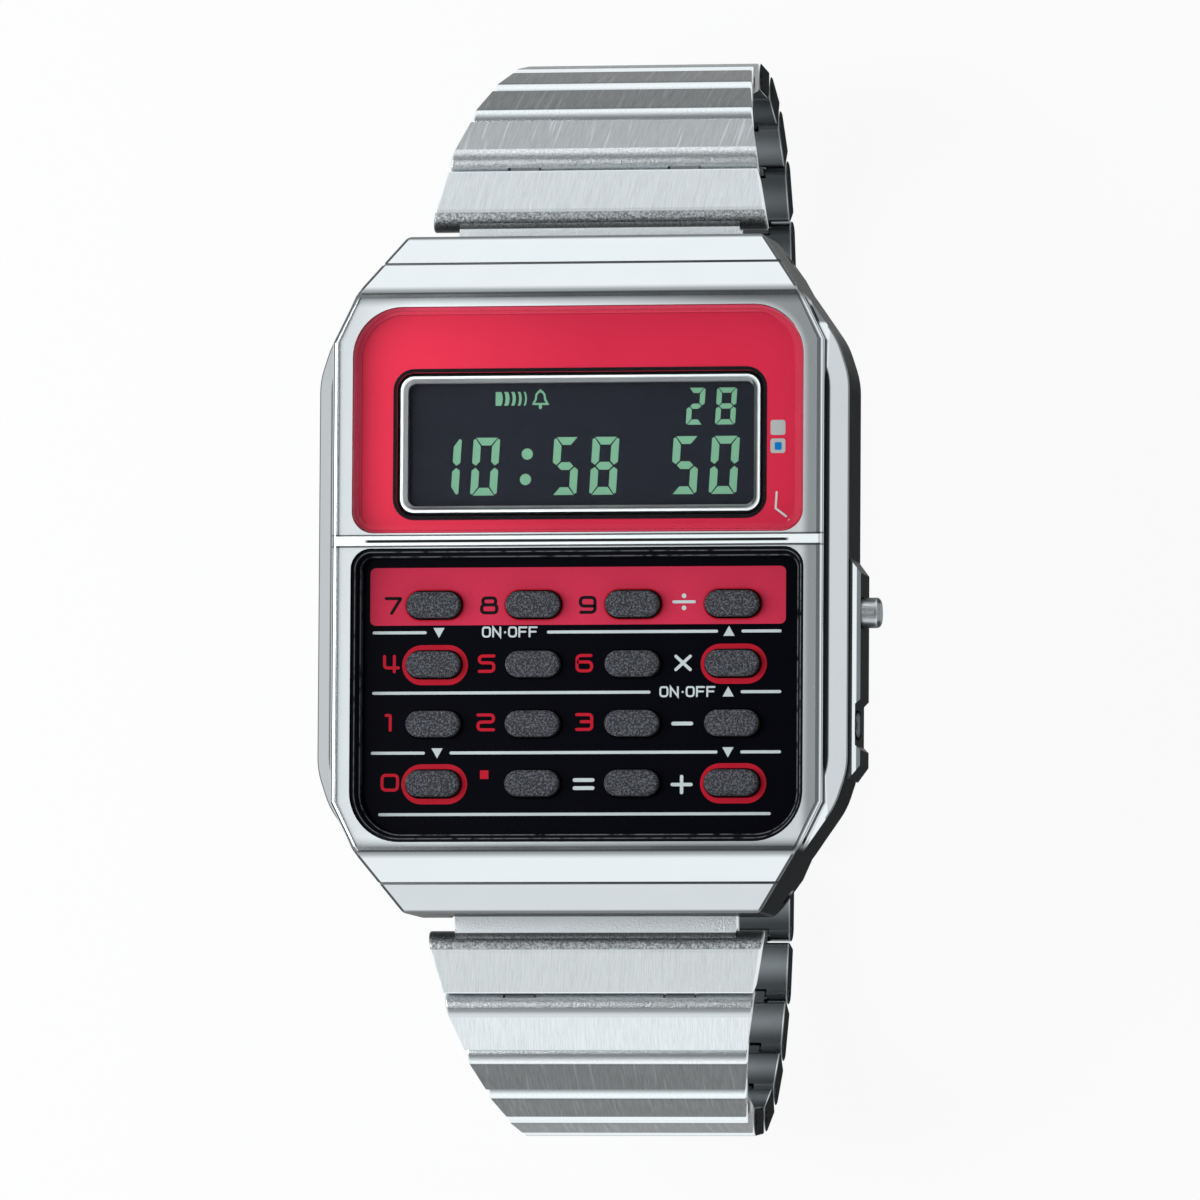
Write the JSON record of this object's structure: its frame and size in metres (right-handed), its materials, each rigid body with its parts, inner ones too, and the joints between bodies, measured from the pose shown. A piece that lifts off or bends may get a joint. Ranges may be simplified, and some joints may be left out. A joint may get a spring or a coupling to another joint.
{
  "type": "calculator watch",
  "caption": "Digital calculator watch with a keypad under its display, side buttons, and a steel link bracelet closed by a fold-over clasp.",
  "frame": {"origin": "middle of the clasp's flat outer face, which the closed watch stands on", "axes": "+Z out of the dial, +Y towards twelve o'clock, +X towards three o'clock"},
  "size_m": [0.0358, 0.0698, 0.0425],
  "materials": {
    "case_bright": "polished, satin fields round the window and keypad",
    "window_glass": "clear, bevelled",
    "red_plate": "gloss, printed",
    "frame_bright": "polished",
    "display_dark": "dark with pale green digits",
    "keypad_black": "gloss moulded, printed",
    "key_rubber": "grained matt",
    "mat_rubber": "matt",
    "module_plastic": "matt",
    "board_green": "satin",
    "battery_steel": "satin",
    "spring_steel": "satin",
    "buzzer_brass": "satin",
    "seal_rubber": "matt",
    "cover_steel": "brushed",
    "screw_steel": "satin",
    "button_bright": "polished",
    "link_steel": "brushed with bright edges",
    "clasp_steel": "brushed"
  },
  "bodies": {
    "head": {"case": "case_bright", "window": "window_glass", "face_plate": "red_plate", "display_frame": "frame_bright", "display_panel": "display_dark", "keypad_panel": "keypad_black", "key_mat": "mat_rubber", "module_frame": "module_plastic", "circuit_board": "board_green", "battery": "battery_steel", "battery_clip": "spring_steel", "buzzer": "buzzer_brass", "back_gasket": "seal_rubber", "back_cover": "cover_steel", "back_screws": "screw_steel", "spring_bars": "screw_steel", "button_seals": "seal_rubber"},
    "key_7": {"key_7": "key_rubber"},
    "key_8": {"key_8": "key_rubber"},
    "key_9": {"key_9": "key_rubber"},
    "key_divide": {"key_divide": "key_rubber"},
    "key_4": {"key_4": "key_rubber"},
    "key_5": {"key_5": "key_rubber"},
    "key_6": {"key_6": "key_rubber"},
    "key_times": {"key_times": "key_rubber"},
    "key_1": {"key_1": "key_rubber"},
    "key_2": {"key_2": "key_rubber"},
    "key_3": {"key_3": "key_rubber"},
    "key_minus": {"key_minus": "key_rubber"},
    "key_0": {"key_0": "key_rubber"},
    "key_point": {"key_point": "key_rubber"},
    "key_equals": {"key_equals": "key_rubber"},
    "key_plus": {"key_plus": "key_rubber"},
    "side_button_1": {"side_button_1": "button_bright"},
    "side_button_2": {"side_button_2": "button_bright"},
    "link_12_01": {"link_12_01": "link_steel"},
    "link_12_02": {"link_12_02": "link_steel"},
    "link_12_03": {"link_12_03": "link_steel"},
    "link_12_04": {"link_12_04": "link_steel"},
    "link_12_05": {"link_12_05": "link_steel"},
    "link_12_06": {"link_12_06": "link_steel"},
    "link_12_07": {"link_12_07": "link_steel"},
    "link_12_08": {"link_12_08": "link_steel"},
    "link_12_09": {"link_12_09": "link_steel"},
    "link_12_10": {"link_12_10": "link_steel"},
    "link_12_11": {"link_12_11": "link_steel"},
    "link_6_01": {"link_6_01": "link_steel"},
    "link_6_02": {"link_6_02": "link_steel"},
    "link_6_03": {"link_6_03": "link_steel"},
    "link_6_04": {"link_6_04": "link_steel"},
    "link_6_05": {"link_6_05": "link_steel"},
    "link_6_06": {"link_6_06": "link_steel"},
    "link_6_07": {"link_6_07": "link_steel"},
    "link_6_08": {"link_6_08": "link_steel"},
    "link_6_09": {"link_6_09": "link_steel"},
    "link_6_10": {"link_6_10": "link_steel"},
    "link_6_11": {"link_6_11": "link_steel"},
    "clasp_inner_leaf": {"clasp_inner_leaf": "clasp_steel"},
    "clasp_middle_leaf": {"clasp_middle_leaf": "clasp_steel"},
    "clasp_cover": {"clasp_cover": "clasp_steel"}
  },
  "joints": [
    {"name": "key_7_press", "type": "slide", "parent": "head", "child": "key_7", "axis": [0, 0, -1], "range_m": [0, 0.00035], "stiffness_N_per_m": 400},
    {"name": "key_8_press", "type": "slide", "parent": "head", "child": "key_8", "axis": [0, 0, -1], "range_m": [0, 0.00035], "stiffness_N_per_m": 400},
    {"name": "key_9_press", "type": "slide", "parent": "head", "child": "key_9", "axis": [0, 0, -1], "range_m": [0, 0.00035], "stiffness_N_per_m": 400},
    {"name": "key_divide_press", "type": "slide", "parent": "head", "child": "key_divide", "axis": [0, 0, -1], "range_m": [0, 0.00035], "stiffness_N_per_m": 400},
    {"name": "key_4_press", "type": "slide", "parent": "head", "child": "key_4", "axis": [0, 0, -1], "range_m": [0, 0.00035], "stiffness_N_per_m": 400},
    {"name": "key_5_press", "type": "slide", "parent": "head", "child": "key_5", "axis": [0, 0, -1], "range_m": [0, 0.00035], "stiffness_N_per_m": 400},
    {"name": "key_6_press", "type": "slide", "parent": "head", "child": "key_6", "axis": [0, 0, -1], "range_m": [0, 0.00035], "stiffness_N_per_m": 400},
    {"name": "key_times_press", "type": "slide", "parent": "head", "child": "key_times", "axis": [0, 0, -1], "range_m": [0, 0.00035], "stiffness_N_per_m": 400},
    {"name": "key_1_press", "type": "slide", "parent": "head", "child": "key_1", "axis": [0, 0, -1], "range_m": [0, 0.00035], "stiffness_N_per_m": 400},
    {"name": "key_2_press", "type": "slide", "parent": "head", "child": "key_2", "axis": [0, 0, -1], "range_m": [0, 0.00035], "stiffness_N_per_m": 400},
    {"name": "key_3_press", "type": "slide", "parent": "head", "child": "key_3", "axis": [0, 0, -1], "range_m": [0, 0.00035], "stiffness_N_per_m": 400},
    {"name": "key_minus_press", "type": "slide", "parent": "head", "child": "key_minus", "axis": [0, 0, -1], "range_m": [0, 0.00035], "stiffness_N_per_m": 400},
    {"name": "key_0_press", "type": "slide", "parent": "head", "child": "key_0", "axis": [0, 0, -1], "range_m": [0, 0.00035], "stiffness_N_per_m": 400},
    {"name": "key_point_press", "type": "slide", "parent": "head", "child": "key_point", "axis": [0, 0, -1], "range_m": [0, 0.00035], "stiffness_N_per_m": 400},
    {"name": "key_equals_press", "type": "slide", "parent": "head", "child": "key_equals", "axis": [0, 0, -1], "range_m": [0, 0.00035], "stiffness_N_per_m": 400},
    {"name": "key_plus_press", "type": "slide", "parent": "head", "child": "key_plus", "axis": [0, 0, -1], "range_m": [0, 0.00035], "stiffness_N_per_m": 400},
    {"name": "side_button_1_press", "type": "slide", "parent": "head", "child": "side_button_1", "axis": [-1, 0, 0], "range_m": [0, 0.0006], "stiffness_N_per_m": 400},
    {"name": "side_button_2_press", "type": "slide", "parent": "head", "child": "side_button_2", "axis": [-1, 0, 0], "range_m": [0, 0.0003], "stiffness_N_per_m": 400},
    {"name": "link_12_01_hinge", "type": "hinge", "parent": "head", "child": "link_12_01", "pos_m": [0, 0.0202, 0.03373], "axis": [1, 0, 0], "range_deg": [0, 23]},
    {"name": "link_12_02_hinge", "type": "hinge", "parent": "link_12_01", "child": "link_12_02", "pos_m": [0, 0.02681, 0.03184], "axis": [1, 0, 0], "range_deg": [0, 24]},
    {"name": "link_12_03_hinge", "type": "hinge", "parent": "link_12_02", "child": "link_12_03", "pos_m": [0, 0.02974, 0.0287], "axis": [1, 0, 0], "range_deg": [0, 15]},
    {"name": "link_12_04_hinge", "type": "hinge", "parent": "link_12_03", "child": "link_12_04", "pos_m": [0, 0.03176, 0.0249], "axis": [1, 0, 0], "range_deg": [0, 9]},
    {"name": "link_12_05_hinge", "type": "hinge", "parent": "link_12_04", "child": "link_12_05", "pos_m": [0, 0.03316, 0.02083], "axis": [1, 0, 0], "range_deg": [0, 10]},
    {"name": "link_12_06_hinge", "type": "hinge", "parent": "link_12_05", "child": "link_12_06", "pos_m": [0, 0.03383, 0.01659], "axis": [1, 0, 0], "range_deg": [0, 13]},
    {"name": "link_12_07_hinge", "type": "hinge", "parent": "link_12_06", "child": "link_12_07", "pos_m": [0, 0.03353, 0.0123], "axis": [1, 0, 0], "range_deg": [0, 20]},
    {"name": "link_12_08_hinge", "type": "hinge", "parent": "link_12_07", "child": "link_12_08", "pos_m": [0, 0.03178, 0.00837], "axis": [1, 0, 0], "range_deg": [0, 19]},
    {"name": "link_12_09_hinge", "type": "hinge", "parent": "link_12_08", "child": "link_12_09", "pos_m": [0, 0.02885, 0.00523], "axis": [1, 0, 0], "range_deg": [0, 18]},
    {"name": "link_12_10_hinge", "type": "hinge", "parent": "link_12_09", "child": "link_12_10", "pos_m": [0, 0.02509, 0.00314], "axis": [1, 0, 0], "range_deg": [0, 15]},
    {"name": "link_12_11_hinge", "type": "hinge", "parent": "link_12_10", "child": "link_12_11", "pos_m": [0, 0.02092, 0.0021], "axis": [1, 0, 0], "range_deg": [0, 12]},
    {"name": "link_6_01_hinge", "type": "hinge", "parent": "head", "child": "link_6_01", "pos_m": [0, -0.0202, 0.03373], "axis": [-1, 0, 0], "range_deg": [0, 23]},
    {"name": "link_6_02_hinge", "type": "hinge", "parent": "link_6_01", "child": "link_6_02", "pos_m": [0, -0.02681, 0.03184], "axis": [-1, 0, 0], "range_deg": [0, 24]},
    {"name": "link_6_03_hinge", "type": "hinge", "parent": "link_6_02", "child": "link_6_03", "pos_m": [0, -0.02974, 0.0287], "axis": [-1, 0, 0], "range_deg": [0, 15]},
    {"name": "link_6_04_hinge", "type": "hinge", "parent": "link_6_03", "child": "link_6_04", "pos_m": [0, -0.03176, 0.0249], "axis": [-1, 0, 0], "range_deg": [0, 9]},
    {"name": "link_6_05_hinge", "type": "hinge", "parent": "link_6_04", "child": "link_6_05", "pos_m": [0, -0.03316, 0.02083], "axis": [-1, 0, 0], "range_deg": [0, 10]},
    {"name": "link_6_06_hinge", "type": "hinge", "parent": "link_6_05", "child": "link_6_06", "pos_m": [0, -0.03383, 0.01659], "axis": [-1, 0, 0], "range_deg": [0, 13]},
    {"name": "link_6_07_hinge", "type": "hinge", "parent": "link_6_06", "child": "link_6_07", "pos_m": [0, -0.03353, 0.0123], "axis": [-1, 0, 0], "range_deg": [0, 20]},
    {"name": "link_6_08_hinge", "type": "hinge", "parent": "link_6_07", "child": "link_6_08", "pos_m": [0, -0.03178, 0.00837], "axis": [-1, 0, 0], "range_deg": [0, 19]},
    {"name": "link_6_09_hinge", "type": "hinge", "parent": "link_6_08", "child": "link_6_09", "pos_m": [0, -0.02885, 0.00523], "axis": [-1, 0, 0], "range_deg": [0, 18]},
    {"name": "link_6_10_hinge", "type": "hinge", "parent": "link_6_09", "child": "link_6_10", "pos_m": [0, -0.02509, 0.00314], "axis": [-1, 0, 0], "range_deg": [0, 15]},
    {"name": "link_6_11_hinge", "type": "hinge", "parent": "link_6_10", "child": "link_6_11", "pos_m": [0, -0.02092, 0.0021], "axis": [-1, 0, 0], "range_deg": [0, 12]},
    {"name": "clasp_swing", "type": "hinge", "parent": "link_12_11", "child": "clasp_inner_leaf", "pos_m": [0, 0.01662, 0.00195], "axis": [1, 0, 0], "range_deg": [0, 25]},
    {"name": "clasp_fold", "type": "hinge", "parent": "clasp_inner_leaf", "child": "clasp_middle_leaf", "pos_m": [0, -0.0135, 0.00215], "axis": [-1, 0, 0], "range_deg": [0, 145]},
    {"name": "clasp_turn", "type": "hinge", "parent": "clasp_middle_leaf", "child": "clasp_cover", "pos_m": [0, 0.013, 0.0016], "axis": [1, 0, 0], "range_deg": [0, 145]}
  ],
  "couplings": [
    {"joint": "clasp_turn", "follows": "clasp_fold", "ratio": 1}
  ]
}
